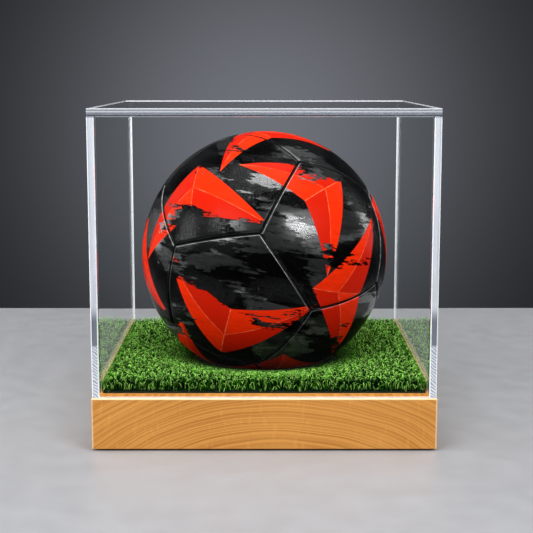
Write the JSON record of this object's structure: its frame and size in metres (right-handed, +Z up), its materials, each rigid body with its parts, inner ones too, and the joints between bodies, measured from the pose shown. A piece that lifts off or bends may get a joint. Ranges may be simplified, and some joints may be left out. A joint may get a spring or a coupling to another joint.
{
  "type": "soccer ball display case",
  "caption": "Clear box cover that lifts off a square wooden plinth, over a mat of artificial grass and a ball held in a ring seat.",
  "frame": {"origin": "middle of the footprint, on the surface that the feet stand on", "axes": "+Z up, -Y out of the front face, +X to the right as the front is seen"},
  "size_m": [0.28, 0.28, 0.2765],
  "materials": {
    "acrylic": "clear polished acrylic",
    "plinth_wood": "satin lacquered honey-coloured wood",
    "deck_wood": "satin lacquered honey-coloured wood",
    "plywood": "bare plywood",
    "block_wood": "bare softwood",
    "screw_steel": "zinc-plated steel",
    "foot_rubber": "matt rubber",
    "seat_felt": "dark felt",
    "turf_backing": "coated woven backing",
    "turf_pile": "curled polythene blades",
    "ball_skin": "satin coated skin, black and red",
    "ball_lining": "woven lining",
    "ball_bladder": "smooth rubber",
    "ball_valve": "smooth rubber"
  },
  "bodies": {
    "base": {"base_rail_front": "plinth_wood", "base_rail_right": "plinth_wood", "base_rail_back": "plinth_wood", "base_rail_left": "plinth_wood", "base_deck": "deck_wood", "bottom_panel": "plywood", "corner_block_1": "block_wood", "corner_block_2": "block_wood", "corner_block_3": "block_wood", "corner_block_4": "block_wood", "bottom_screw_1": "screw_steel", "bottom_screw_2": "screw_steel", "bottom_screw_3": "screw_steel", "bottom_screw_4": "screw_steel", "foot_1": "foot_rubber", "foot_2": "foot_rubber", "foot_3": "foot_rubber", "foot_4": "foot_rubber", "ball_seat_ring": "seat_felt", "turf_backing": "turf_backing", "turf_pile_front": "turf_pile", "turf_pile_right": "turf_pile", "turf_pile_back": "turf_pile", "turf_pile_left": "turf_pile"},
    "cover": {"cover_front": "acrylic", "cover_back": "acrylic", "cover_left": "acrylic", "cover_right": "acrylic", "cover_top": "acrylic"},
    "ball": {"ball_panel_01": "ball_skin", "ball_panel_02": "ball_skin", "ball_panel_03": "ball_skin", "ball_panel_04": "ball_skin", "ball_panel_05": "ball_skin", "ball_panel_06": "ball_skin", "ball_panel_07": "ball_skin", "ball_panel_08": "ball_skin", "ball_panel_09": "ball_skin", "ball_panel_10": "ball_skin", "ball_panel_11": "ball_skin", "ball_panel_12": "ball_skin", "ball_lining": "ball_lining", "ball_bladder": "ball_bladder", "ball_valve": "ball_valve"}
  },
  "joints": [
    {"name": "cover_lift", "type": "slide", "parent": "base", "child": "cover", "axis": [0, 0, 1], "range_m": [0, 0.24]},
    {"name": "ball_turn", "type": "hinge", "parent": "base", "child": "ball", "pos_m": [0, 0, 0.1425], "axis": [0, 0, 1], "continuous": true}
  ]
}
